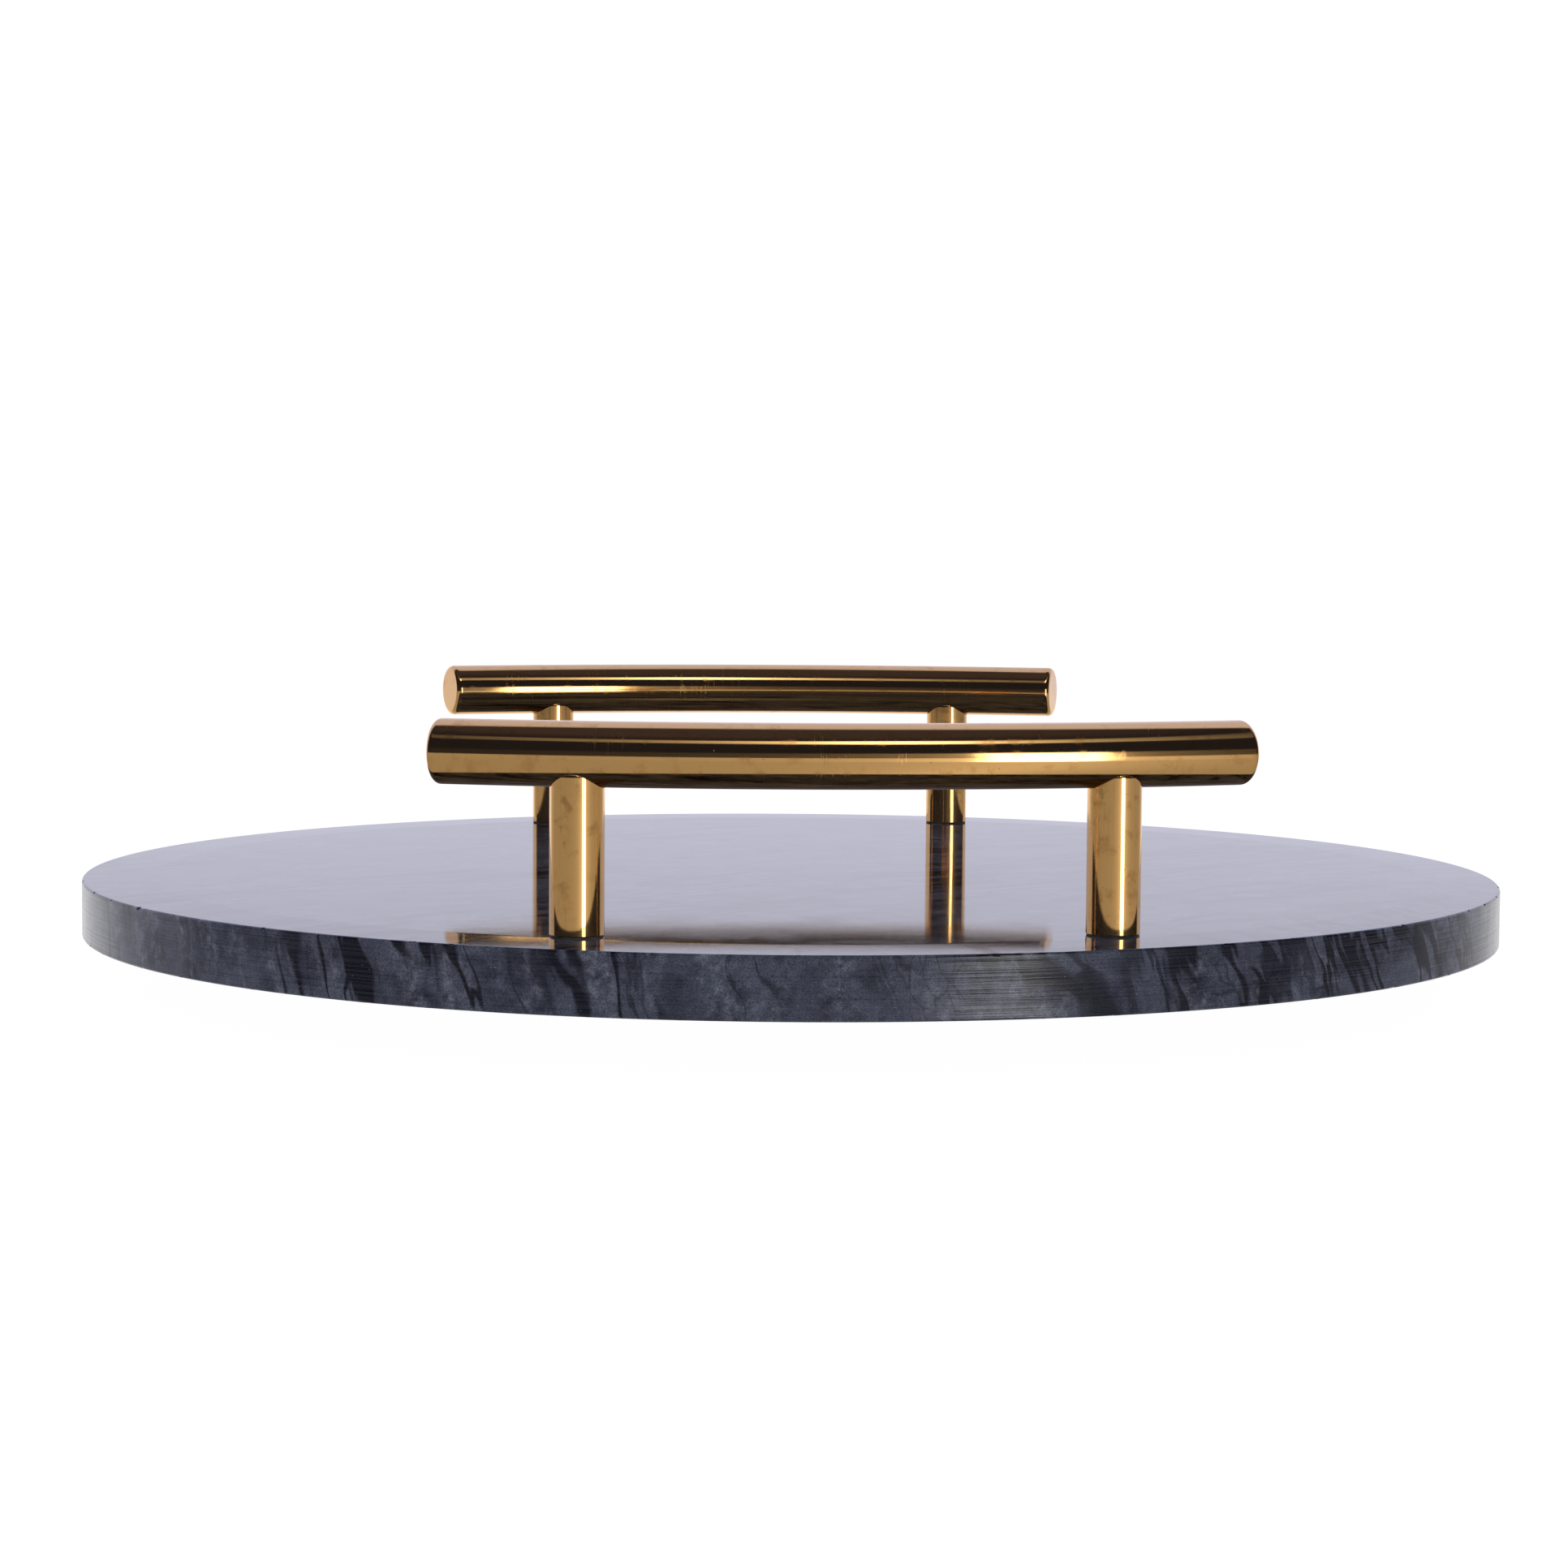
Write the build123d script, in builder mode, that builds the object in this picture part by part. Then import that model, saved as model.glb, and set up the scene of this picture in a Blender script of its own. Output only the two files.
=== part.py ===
from build123d import *
from math import asin, degrees, sqrt
import os

# Lazy susan turntable: a round marble slab with two curved brass handles,
# turning on a low ball-bearing ring that stands on rubber feet.
# Millimetres, +Z up. The origin is on the spin axis, at the surface that the feet stand on.
# The handles lie along X: the front one at -Y, the rear one at +Y.

# ---- slab ----
slab_diameter = 300.0
slab_thickness = 12.0
slab_edge_break = 0.5

# ---- handles ----
bar_diameter = 12.0
bar_length = 152.0
bar_bend_radius = 215.0
bar_end_round = 1.2
bar_axis_above_slab = 33.0
handle_inset = 23.0
post_diameter = 10.0
post_spacing = 98.0
post_foot_break = 0.2
post_gasket_thickness = 0.2
post_gasket_setback = 0.15

# ---- fixings that hold the handles ----
handle_screw_diameter = 5.0
handle_screw_length = 20.0
handle_screw_head_diameter = 9.5
handle_screw_head_height = 3.0
handle_screw_socket = 4.0
handle_screw_socket_depth = 1.8
head_recess = 0.5
washer_diameter = 12.0
washer_thickness = 1.0
soft_washer_thickness = 1.0
counterbore_diameter = 14.0
stud_diameter = 5.0
stud_in_post = 7.0
stud_in_bar = 5.0

# ---- ball-bearing ring ----
ball_diameter = 5.0
ball_count = 24
ball_circle_diameter = 116.0
ring_gap = 1.6
ring_height = 8.0
stator_width = 11.2
rotor_width = 13.2
rotor_lift = 1.0
ring_edge_break = 0.4
ring_gasket_thickness = 0.5
ring_gasket_margin = 1.0
cage_thickness = 0.8
plug_angle = 22.5
plug_socket = 2.5
plug_socket_depth = 2.2
plug_recess = 0.5

# ---- fixings of the ring ----
ring_screw_count = 4
ring_screw_diameter = 4.0
ring_screw_length = 14.0
ring_screw_head_diameter = 8.0
ring_screw_socket = 2.5
ring_screw_socket_depth = 1.2
ring_screw_edge = 5.5
insert_diameter = 7.0
insert_length = 7.0
base_hole_count = 4
base_hole_diameter = 4.2
base_hole_edge = 5.0

# ---- feet ----
foot_diameter = 9.0
foot_height = 2.0
foot_recess = 1.0
foot_edge_break = 0.3

# ---- clearances ----
thread_gap = 0.05
screw_hole_gap = 0.25
countersink_gap = 0.2
ball_gap = 0.08
ball_filling_gap = 0.15
insert_gap = 0.05
insert_hole_extra = 1.0
bore_end_gap = 0.5
plug_gap = 0.05

# ---- heights, from the feet up ----
stator_bottom = foot_height - foot_recess
rotor_bottom = stator_bottom + rotor_lift
rotor_top = rotor_bottom + ring_height
ball_height = (stator_bottom + rotor_top) / 2
slab_bottom = rotor_top + ring_gasket_thickness
slab_top = slab_bottom + slab_thickness
post_bottom = slab_top + post_gasket_thickness
bar_axis = slab_top + bar_axis_above_slab
bar_underside = bar_axis - bar_diameter / 2

# ---- radii of the bearing ring ----
ball_circle = ball_circle_diameter / 2
groove_radius = ball_diameter / 2 + ball_gap
stator_inner = ball_circle + ring_gap / 2
stator_outer = stator_inner + stator_width
rotor_outer = ball_circle - ring_gap / 2
rotor_inner = rotor_outer - rotor_width
ring_screw_circle = rotor_inner + ring_screw_edge
base_hole_circle = stator_outer - base_hole_edge
plug_diameter = ball_diameter + 2 * ball_filling_gap

# ---- where the two rings stand side by side, and the wall left beside the ball groove ----
ring_overlap = ring_height - rotor_lift
groove_half_height = sqrt(groove_radius**2 - (ring_gap / 2) ** 2)
groove_wall = ring_overlap / 2 - groove_half_height
race_edge_break = min(ring_edge_break, groove_wall / 2)

# ---- heights of the handle fixings, inside the slab's counterbores ----
screw_head_bottom = slab_bottom + head_recess
screw_head_top = screw_head_bottom + handle_screw_head_height
washer_top = screw_head_top + washer_thickness
soft_washer_top = washer_top + soft_washer_thickness
handle_screw_top = screw_head_top + handle_screw_length

# ---- places of the handles ----
handle_radius = slab_diameter / 2 - handle_inset
bar_half_angle = degrees(bar_length / 2 / bar_bend_radius)
bend_centre = handle_radius - bar_bend_radius
post_reach = bend_centre + sqrt(bar_bend_radius**2 - (post_spacing / 2) ** 2)
FRONT = -1
REAR = 1
LEFT = -1
RIGHT = 1
post_places = [
    (across * post_spacing / 2, side * post_reach)
    for side in (FRONT, REAR)
    for across in (LEFT, RIGHT)
]
foot_places = {"front": -90, "right": 0, "rear": 90, "left": 180}


def below(height):
    """A plane at this height that faces down, for holes drilled from underneath."""
    return Plane(origin=(0, 0, height), x_dir=(1, 0, 0), z_dir=(0, 0, -1))


def save(piece, name):
    piece.label = name
    export_step(piece, f"parts/{name}.step")


def make_slab():
    """The round slab, with counterbored handle holes and blind insert holes underneath."""
    with BuildPart() as slab:
        with BuildSketch(Plane.XY.offset(slab_bottom)):
            Circle(slab_diameter / 2)
        extrude(amount=slab_thickness)
        chamfer(slab.edges().filter_by(GeomType.CIRCLE), slab_edge_break)
        with Locations(below(slab_bottom)):
            with Locations(*[(x, -y) for x, y in post_places]):
                CounterBoreHole(
                    handle_screw_diameter / 2 + screw_hole_gap,
                    counterbore_diameter / 2,
                    soft_washer_top - slab_bottom,
                )
            with PolarLocations(ring_screw_circle, ring_screw_count):
                Hole(insert_diameter / 2 + insert_gap, insert_length + insert_hole_extra)
    return slab.part


def make_bar(side):
    """A round bar bent to one wide arc, with blind tapped holes for its two studs."""
    middle_angle = side * 90
    with BuildPart() as bar:
        with BuildLine(Plane.XY.offset(bar_axis)) as path:
            CenterArc(
                (0, side * bend_centre),
                bar_bend_radius,
                middle_angle - bar_half_angle,
                2 * bar_half_angle,
            )
        with BuildSketch(Plane(path.line @ 0, z_dir=path.line % 0)):
            Circle(bar_diameter / 2)
        sweep()
        fillet(bar.faces().filter_by(GeomType.PLANE).edges(), bar_end_round)
        with BuildSketch(Plane.XY.offset(bar_underside + stud_in_bar + bore_end_gap)):
            with Locations(*[place for place in post_places if place[1] * side > 0]):
                Circle(stud_diameter / 2 + thread_gap)
        extrude(amount=-bar_diameter, mode=Mode.SUBTRACT)
    return bar.part


def make_post(place, bar):
    """A round post, saddle-cut to sit under the bar and tapped at both ends."""
    bottom = Plane(origin=(*place, post_bottom))
    stud_bore = Plane(origin=(*place, bar_underside - stud_in_post - bore_end_gap))
    with BuildPart() as post:
        with BuildSketch(bottom):
            Circle(post_diameter / 2)
        extrude(amount=bar_axis - post_bottom)
        chamfer(post.edges().group_by(Axis.Z)[0], post_foot_break)
        add(bar, mode=Mode.SUBTRACT)
        with BuildSketch(bottom):
            Circle(handle_screw_diameter / 2 + thread_gap)
        extrude(amount=handle_screw_top - post_bottom + bore_end_gap, mode=Mode.SUBTRACT)
        with BuildSketch(stud_bore):
            Circle(stud_diameter / 2 + thread_gap)
        extrude(amount=bar_axis, mode=Mode.SUBTRACT)
    return post.part


def make_rings(bottom, thickness, outer_diameter, bore_diameter):
    """Four flat rings, one under each post."""
    with BuildPart() as rings:
        with BuildSketch(Plane.XY.offset(bottom)):
            with Locations(*post_places):
                Circle(outer_diameter / 2)
                Circle(bore_diameter / 2, mode=Mode.SUBTRACT)
        extrude(amount=thickness)
    return rings.part


def make_studs():
    """Four threaded studs that join the posts to the bars."""
    with BuildPart() as studs:
        with BuildSketch(Plane.XY.offset(bar_underside - stud_in_post)):
            with Locations(*post_places):
                Circle(stud_diameter / 2)
        extrude(amount=stud_in_post + stud_in_bar)
    return studs.part


def make_handle_screws():
    """Four socket-head screws that pull the posts down on the slab."""
    with BuildPart() as screws:
        with BuildSketch(Plane.XY.offset(screw_head_bottom)):
            with Locations(*post_places):
                Circle(handle_screw_head_diameter / 2)
        extrude(amount=handle_screw_head_height)
        with BuildSketch(Plane.XY.offset(screw_head_top)):
            with Locations(*post_places):
                Circle(handle_screw_diameter / 2)
        extrude(amount=handle_screw_length)
        with BuildSketch(Plane.XY.offset(screw_head_bottom)):
            with Locations(*post_places):
                RegularPolygon(handle_screw_socket / 2, 6, major_radius=False)
        extrude(amount=handle_screw_socket_depth, mode=Mode.SUBTRACT)
    return screws.part


def make_race(inner, outer, bottom):
    """A flat ring with a round ball groove at the ball circle."""
    with BuildPart() as race:
        with BuildSketch(Plane.XZ):
            with Locations(((inner + outer) / 2, bottom + ring_height / 2)):
                Rectangle(outer - inner, ring_height)
            with Locations((ball_circle, ball_height)):
                Circle(groove_radius, mode=Mode.SUBTRACT)
        revolve(axis=Axis.Z)
        top_and_bottom = race.faces().filter_by(GeomType.PLANE)
        chamfer(top_and_bottom.edges(), race_edge_break)
    return race.part


def make_stator():
    """The standing ring, with screw holes, foot recesses and the ball-filling hole."""
    with BuildPart() as stator:
        add(make_race(stator_inner, stator_outer, stator_bottom))
        with Locations(below(stator_bottom)):
            with PolarLocations(base_hole_circle, base_hole_count, start_angle=45):
                Hole(base_hole_diameter / 2)
            with PolarLocations(base_hole_circle, len(foot_places)):
                Hole(foot_diameter / 2, foot_recess)
        with BuildSketch(plug_plane(ball_circle)):
            Circle(plug_diameter / 2 + plug_gap)
        extrude(amount=stator_outer, mode=Mode.SUBTRACT)
    return stator.part


def make_rotor():
    """The turning ring, countersunk from below for the screws that hold it to the slab."""
    with BuildPart() as rotor:
        add(make_race(rotor_inner, rotor_outer, rotor_bottom))
        with Locations(below(rotor_bottom)):
            with PolarLocations(ring_screw_circle, ring_screw_count):
                CounterSinkHole(
                    ring_screw_diameter / 2 + countersink_gap,
                    ring_screw_head_diameter / 2 + countersink_gap,
                    counter_sink_angle=90,
                )
    return rotor.part


def plug_plane(reach):
    """A plane across the ball-filling hole, at this distance from the spin axis, facing out."""
    outwards = Vector(1, 0, 0).rotate(Axis.Z, plug_angle)
    return Plane(origin=outwards * reach + Vector(0, 0, ball_height), z_dir=outwards)


def make_plug():
    """The grub screw that closes the ball-filling hole."""
    inner_end = ball_circle + groove_radius + 2 * plug_gap
    outer_end = stator_outer - plug_recess
    with BuildPart() as plug:
        with BuildSketch(plug_plane(inner_end)):
            Circle(plug_diameter / 2)
        extrude(amount=outer_end - inner_end)
        with BuildSketch(plug_plane(outer_end)):
            RegularPolygon(plug_socket / 2, 6, major_radius=False)
        extrude(amount=-plug_socket_depth, mode=Mode.SUBTRACT)
    return plug.part


def make_balls():
    """The steel balls, evenly spaced on their circle."""
    with BuildPart(Plane.XY.offset(ball_height)) as balls:
        with PolarLocations(ball_circle, ball_count):
            Sphere(ball_diameter / 2)
    return balls.part


def make_cage():
    """A thin band with one round pocket for each ball."""
    with BuildPart(Plane.XY.offset(ball_height)) as cage:
        Cylinder(ball_circle + cage_thickness / 2, ring_overlap)
        Cylinder(ball_circle - cage_thickness / 2, ring_overlap, mode=Mode.SUBTRACT)
        with PolarLocations(ball_circle, ball_count):
            Cylinder(
                groove_radius,
                3 * cage_thickness,
                rotation=(0, 90, 0),
                mode=Mode.SUBTRACT,
            )
    return cage.part


def make_ring_gasket():
    """The thin gasket between the turning ring and the slab."""
    with BuildPart() as gasket:
        with BuildSketch(Plane.XY.offset(rotor_top)):
            Circle(rotor_outer - ring_gasket_margin)
            Circle(rotor_inner + ring_gasket_margin, mode=Mode.SUBTRACT)
            with PolarLocations(ring_screw_circle, ring_screw_count):
                Circle(ring_screw_diameter / 2 + screw_hole_gap, mode=Mode.SUBTRACT)
        extrude(amount=ring_gasket_thickness)
    return gasket.part


def make_ring_screws():
    """Countersunk screws, their heads just inside the turning ring's underside."""
    head_bottom = rotor_bottom + countersink_gap
    head_height = (ring_screw_head_diameter - ring_screw_diameter) / 2
    with BuildPart() as screws:
        with BuildSketch(Plane.XY.offset(head_bottom)):
            with PolarLocations(ring_screw_circle, ring_screw_count):
                Circle(ring_screw_head_diameter / 2)
        extrude(amount=head_height, taper=45)
        with BuildSketch(Plane.XY.offset(head_bottom)):
            with PolarLocations(ring_screw_circle, ring_screw_count):
                Circle(ring_screw_diameter / 2)
        extrude(amount=ring_screw_length)
        with BuildSketch(Plane.XY.offset(head_bottom)):
            with PolarLocations(ring_screw_circle, ring_screw_count):
                RegularPolygon(ring_screw_socket / 2, 6, major_radius=False)
        extrude(amount=ring_screw_socket_depth, mode=Mode.SUBTRACT)
    return screws.part


def make_inserts():
    """Threaded inserts bonded into the slab's blind holes."""
    with BuildPart() as inserts:
        with BuildSketch(Plane.XY.offset(slab_bottom)):
            with PolarLocations(ring_screw_circle, ring_screw_count):
                Circle(insert_diameter / 2)
                Circle(ring_screw_diameter / 2 + thread_gap, mode=Mode.SUBTRACT)
        extrude(amount=insert_length)
    return inserts.part


def make_foot(angle):
    """A round rubber foot, set into its recess under the standing ring."""
    centre = Vector(base_hole_circle, 0, 0).rotate(Axis.Z, angle)
    with BuildPart() as foot:
        with BuildSketch(Plane(origin=centre)):
            Circle(foot_diameter / 2)
        extrude(amount=foot_height)
        chamfer(foot.edges().group_by(Axis.Z)[0], foot_edge_break)
    return foot.part


os.makedirs("parts", exist_ok=True)

save(make_slab(), "marble_slab")

for side, side_name in ((FRONT, "front"), (REAR, "rear")):
    bar = make_bar(side)
    save(bar, f"{side_name}_handle_bar")
    for across, across_name in ((LEFT, "left"), (RIGHT, "right")):
        place = (across * post_spacing / 2, side * post_reach)
        save(make_post(place, bar), f"{side_name}_{across_name}_post")

save(make_studs(), "bar_studs")
gasket_diameter = post_diameter - 2 * post_gasket_setback
screw_hole_diameter = handle_screw_diameter + 2 * screw_hole_gap
save(
    make_rings(slab_top, post_gasket_thickness, gasket_diameter, screw_hole_diameter),
    "post_gaskets",
)
save(make_handle_screws(), "handle_screws")
save(
    make_rings(screw_head_top, washer_thickness, washer_diameter, screw_hole_diameter),
    "steel_washers",
)
save(
    make_rings(washer_top, soft_washer_thickness, washer_diameter, screw_hole_diameter),
    "rubber_washers",
)

save(make_rotor(), "turning_ring")
save(make_ring_gasket(), "ring_gasket")
save(make_ring_screws(), "ring_screws")
save(make_inserts(), "threaded_inserts")

save(make_balls(), "bearing_balls")
save(make_cage(), "ball_cage")

save(make_stator(), "standing_ring")
save(make_plug(), "ball_filling_plug")
for foot_name, angle in foot_places.items():
    save(make_foot(angle), f"{foot_name}_foot")
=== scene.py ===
import random
from math import cos, pi, radians, sin

import bmesh
import bpy
from mathutils import Matrix, Vector


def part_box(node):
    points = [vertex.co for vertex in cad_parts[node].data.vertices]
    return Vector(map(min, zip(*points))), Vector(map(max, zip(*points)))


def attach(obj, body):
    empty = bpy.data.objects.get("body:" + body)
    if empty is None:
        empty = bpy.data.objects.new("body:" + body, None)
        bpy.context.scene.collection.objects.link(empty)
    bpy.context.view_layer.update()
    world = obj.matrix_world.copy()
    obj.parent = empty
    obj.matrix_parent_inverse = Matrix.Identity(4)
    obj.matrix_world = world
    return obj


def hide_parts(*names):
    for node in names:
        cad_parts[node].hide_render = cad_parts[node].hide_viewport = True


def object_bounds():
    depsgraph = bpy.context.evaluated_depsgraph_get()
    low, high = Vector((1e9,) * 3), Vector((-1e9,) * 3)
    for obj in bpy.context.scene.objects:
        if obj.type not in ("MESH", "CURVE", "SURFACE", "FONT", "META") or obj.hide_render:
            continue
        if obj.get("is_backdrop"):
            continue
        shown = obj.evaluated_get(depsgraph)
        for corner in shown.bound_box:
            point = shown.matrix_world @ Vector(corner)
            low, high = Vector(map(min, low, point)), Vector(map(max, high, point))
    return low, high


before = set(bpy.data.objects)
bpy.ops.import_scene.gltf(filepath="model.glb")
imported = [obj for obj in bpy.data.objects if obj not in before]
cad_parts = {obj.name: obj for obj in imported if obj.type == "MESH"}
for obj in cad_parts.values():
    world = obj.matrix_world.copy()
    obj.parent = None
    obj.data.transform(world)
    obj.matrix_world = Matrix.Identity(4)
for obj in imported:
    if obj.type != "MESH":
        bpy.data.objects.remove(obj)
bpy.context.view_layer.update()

# A lazy susan: a round dark marble slab with two curved brass handles, turning on an
# aluminium ball-bearing ring. Metres, +Z up, the spin axis on Z, the front handle at -Y.

MM = 0.001
FRONT, REAR = -1, 1
LEFT, RIGHT = -1, 1
UP = Vector((0, 0, 1))

# ---- places, read from the frame ----
slab_low, slab_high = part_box("marble_slab")
slab_radius = min(slab_high.x, -slab_low.x, slab_high.y, -slab_low.y)
bar_low, bar_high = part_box("front_handle_bar")
bar_radius = (bar_high.z - bar_low.z) / 2
bar_axis = (bar_high.z + bar_low.z) / 2
post_low, post_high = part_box("front_left_post")
post_radius = (post_high.x - post_low.x) / 2
post_places = {}
for side, side_name in ((FRONT, "front"), (REAR, "rear")):
    for across, across_name in ((LEFT, "left"), (RIGHT, "right")):
        low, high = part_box(f"{side_name}_{across_name}_post")
        post_places[f"{side_name}_{across_name}"] = (low + high) / 2

# ---- sizes of the visible shapes ----
slab_edge_round = 0.5 * MM
slab_roll_width = 13 * MM
slab_roll_start = 2 * MM
slab_roll_drops = (0.012 * MM, 0.18 * MM)
bar_arc = 152 * MM
bar_bend_radius = 215 * MM
bar_end_round = 1.2 * MM
bar_end_inset = 0.2 * MM
bend_centre = bar_bend_radius + bar_low.y + bar_radius
bar_half_angle = bar_arc / 2 / bar_bend_radius
post_foot_round = 0.2 * MM
post_head_sink = 3.1 * MM
post_head_round = 0.9 * MM
saddle_round = 0.12 * MM
stud_bore_radius = 2.55 * MM
stud_bore_top = bar_low.z + 5.5 * MM
stud_bore_bottom = bar_low.z - 7.5 * MM
stud_bore_start = bar_low.z - 2 * MM
screw_hole_radius = 2.75 * MM
screw_hole_length = 20 * MM
screw_bore_radius = 2.55 * MM
screw_bore_top = 38 * MM
counterbore_radius = 7 * MM
counterbore_depth = 5.5 * MM
insert_hole_radius = 3.55 * MM
insert_hole_depth = 8 * MM
ring_fixing_circle = 49.5 * MM


# ---------------------------------------------------------------- modelling by hand

# verts nearer than this, in metres, are one
same_place = 1e-6


def let_go():
    """Leaves nothing selected."""
    bpy.ops.object.select_all(action="DESELECT")


def take(piece):
    """Makes this the one selected object."""
    let_go()
    piece.select_set(True)
    bpy.context.view_layer.objects.active = piece


def added(name):
    """Names the primitive that was just added."""
    piece = bpy.context.active_object
    piece.name = name
    piece.data.name = name
    return piece


def settle(piece):
    """Puts the piece's place, turn and size into its mesh."""
    take(piece)
    bpy.ops.object.transform_apply(location=True, rotation=True, scale=True)


def open_mesh(piece, kind):
    """Goes into edit mode with nothing selected, to work on VERT, EDGE or FACE."""
    take(piece)
    bpy.ops.object.mode_set(mode="EDIT")
    bpy.ops.mesh.select_mode(type=kind)
    bpy.ops.mesh.select_all(action="DESELECT")


def close_mesh():
    """Leaves edit mode."""
    bpy.ops.object.mode_set(mode="OBJECT")


def choose(piece, parts, test):
    """Selects just the verts, edges or faces of the open mesh that pass the test."""
    shape = bmesh.from_edit_mesh(piece.data)
    for part in getattr(shape, parts):
        part.select_set(False)
    for part in getattr(shape, parts):
        if test(part):
            part.select_set(True)
    bmesh.update_edit_mesh(piece.data)


def middle(part):
    """The middle of an edge or face."""
    return sum((vert.co for vert in part.verts), Vector()) / len(part.verts)


def rim_at(height):
    """A test for the edges that run level at this height."""
    return lambda edge: all(abs(vert.co.z - height) < same_place for vert in edge.verts)


def clean_up():
    """Merges what coincides in the open mesh and turns its faces outwards."""
    bpy.ops.mesh.select_all(action="SELECT")
    bpy.ops.mesh.remove_doubles(threshold=same_place)
    bpy.ops.mesh.normals_make_consistent(inside=False)


def rod(name, radius, low, high, sides=48):
    """A round rod between two points."""
    along = high - low
    let_go()
    bpy.ops.mesh.primitive_cylinder_add(
        vertices=sides,
        radius=radius,
        depth=along.length,
        location=(low + high) / 2,
        rotation=along.to_track_quat("Z", "Y").to_euler(),
    )
    piece = added(name)
    settle(piece)
    return piece


def join(name, pieces):
    """Makes one object of several."""
    take(pieces[0])
    for piece in pieces:
        piece.select_set(True)
    bpy.ops.object.join()
    return added(name)


def copy_of(piece, name):
    """A copy of a piece, with its own mesh."""
    twin = piece.copy()
    twin.data = piece.data.copy()
    twin.name = name
    twin.data.name = name
    bpy.context.scene.collection.objects.link(twin)
    return twin


def cut(piece, tools):
    """Cuts the tools' shapes out of the piece and throws the tools away."""
    tool = join("cutting_tool", tools) if len(tools) > 1 else tools[0]
    take(piece)
    cutting = piece.modifiers.new("cut", "BOOLEAN")
    cutting.object = tool
    cutting.operation = "DIFFERENCE"
    cutting.solver = "EXACT"
    bpy.ops.object.modifier_apply(modifier="cut")
    bpy.data.objects.remove(tool)


def hand_over(piece, body, material, nodes, smooth):
    """Shades and paints a finished piece, and sets it on its body in place of the CAD nodes.

    Edges that turn by less than smooth, in degrees, are shaded as one surface.
    """
    settle(piece)
    bpy.ops.object.shade_smooth_by_angle(angle=radians(smooth))
    even = piece.modifiers.new("even_shading", "WEIGHTED_NORMAL")
    even.keep_sharp = True
    bpy.ops.object.modifier_apply(modifier="even_shading")
    piece.data.materials.clear()
    piece.data.materials.append(material)
    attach(piece, body)
    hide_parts(*nodes)


# ---------------------------------------------------------------- shader nodes


def put(tree, kind, settings=None, **inputs):
    """Adds a node. Its inputs are numbers and colours, or the sockets that feed them."""
    made = tree.nodes.new(kind)
    for name, value in (settings or {}).items():
        setattr(made, name, value)
    for name, value in inputs.items():
        feed(tree, made.inputs[name.replace("_", " ")], value)
    return made


def feed(tree, socket, value):
    """Links a socket into this one, or sets its value; None leaves it alone."""
    if isinstance(value, bpy.types.NodeSocket):
        tree.links.new(value, socket)
    elif value is not None:
        socket.default_value = value


def calc(tree, operation, a, b=None):
    """A Math node."""
    made = tree.nodes.new("ShaderNodeMath")
    made.operation = operation
    for socket, value in zip(made.inputs, (a, b)):
        feed(tree, socket, value)
    return made.outputs[0]


def vector_calc(tree, operation, a, b=None, scale=None):
    """A Vector Math node."""
    made = tree.nodes.new("ShaderNodeVectorMath")
    made.operation = operation
    feed(tree, made.inputs[0], a)
    feed(tree, made.inputs[1], b)
    if operation == "SCALE":
        feed(tree, made.inputs["Scale"], scale)
    return made.outputs["Value" if operation == "DOT_PRODUCT" else "Vector"]


def soft_step(tree, value, low, high, start=0.0, end=1.0):
    """A value that goes smoothly from start at low to end at high."""
    made = put(tree, "ShaderNodeMapRange", {"interpolation_type": "SMOOTHSTEP"}, Value=value)
    for name, number in zip(("From Min", "From Max", "To Min", "To Max"), (low, high, start, end)):
        feed(tree, made.inputs[name], number)
    return made.outputs["Result"]


def tint(tree, share, a, b):
    """A colour that goes from a to b as share goes from 0 to 1."""
    made = tree.nodes.new("ShaderNodeMix")
    made.data_type = "RGBA"
    feed(tree, made.inputs[0], share)
    feed(tree, made.inputs[6], a)
    feed(tree, made.inputs[7], b)
    return made.outputs[2]


def noise(tree, vector, scale, detail, rough=0.5, warp=0.0):
    """A Noise texture's value, from 0 to 1."""
    made = put(
        tree,
        "ShaderNodeTexNoise",
        Vector=vector,
        Scale=scale,
        Detail=detail,
        Roughness=rough,
        Distortion=warp,
    )
    return made.outputs["Fac"]


def stretched(tree, vector, scale, turn=(0, 0, 0)):
    """The vector, turned and scaled along each axis."""
    return put(
        tree, "ShaderNodeMapping", Vector=vector, Rotation=turn, Scale=scale
    ).outputs["Vector"]


def millimetres(tree):
    """The piece's own coordinates, in millimetres."""
    place = tree.nodes.new("ShaderNodeTexCoord").outputs["Object"]
    return vector_calc(tree, "SCALE", place, scale=1 / MM)


def effect(name, inputs, outputs):
    """An empty node group with these sockets, and the nodes at its two ends."""
    group = bpy.data.node_groups.new(name, "ShaderNodeTree")
    for socket, (kind, value) in inputs.items():
        made = group.interface.new_socket(socket, in_out="INPUT", socket_type=kind)
        if value is not None:
            made.default_value = value
    for socket, kind in outputs.items():
        group.interface.new_socket(socket, in_out="OUTPUT", socket_type=kind)
    return group, group.nodes.new("NodeGroupInput"), group.nodes.new("NodeGroupOutput")


def use(tree, group, **inputs):
    """Places an effect in a tree and gives its outputs."""
    made = tree.nodes.new("ShaderNodeGroup")
    made.node_tree = group
    for name, value in inputs.items():
        feed(tree, made.inputs[name.replace("_", " ")], value)
    return made.outputs


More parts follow.
